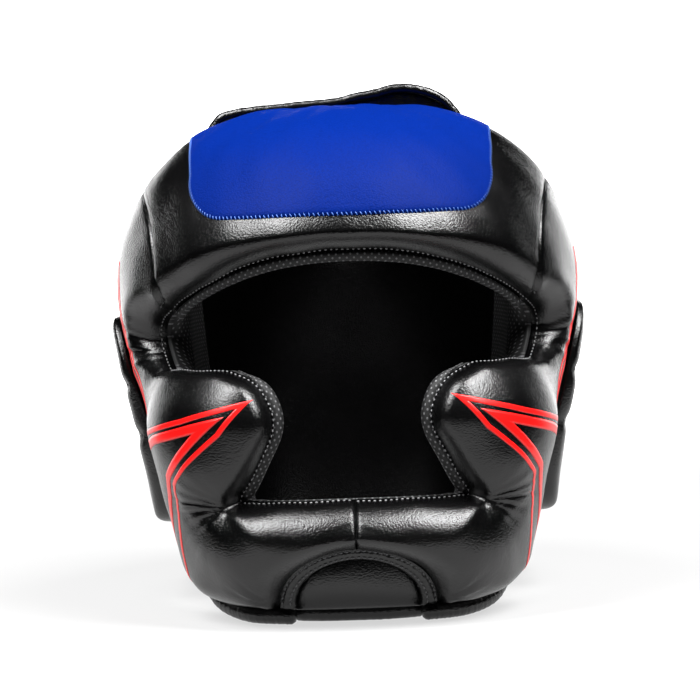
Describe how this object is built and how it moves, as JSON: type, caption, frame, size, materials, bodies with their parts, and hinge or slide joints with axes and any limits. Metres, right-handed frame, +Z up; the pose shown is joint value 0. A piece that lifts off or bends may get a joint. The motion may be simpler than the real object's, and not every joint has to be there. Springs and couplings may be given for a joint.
{
  "type": "head guard",
  "caption": "Padded full-face head guard for boxing: leather forehead and cheek pads round open eye and mouth, ear pads, nape pad and straps.",
  "frame": {"origin": "on the floor under the middle of the guard's bounding box", "axes": "+Z up, the face looks along -Y, the wearer's left is +X"},
  "size_m": [0.2388, 0.2462, 0.2515],
  "materials": {
    "leather": "satin grained black",
    "blue_leather": "satin grained blue",
    "lining": "black with silvery dots",
    "webbing": "matte woven black"
  },
  "bodies": {
    "root": {"forehead_pad": "leather", "forehead_panel": "blue_leather", "forehead_lining": "lining", "crown_piping": "leather", "chin_arch_binding": "leather", "chin_panel": "leather", "chin_hem": "leather", "nape_pad": "leather", "nape_strap": "webbing", "crown_strap": "webbing", "cheek_pad_left": "leather", "cheek_lining_left": "lining", "jaw_binding_left": "leather", "ear_pad_left": "leather", "cheek_pad_right": "leather", "cheek_lining_right": "lining", "jaw_binding_right": "leather", "ear_pad_right": "leather"}
  },
  "joints": []
}
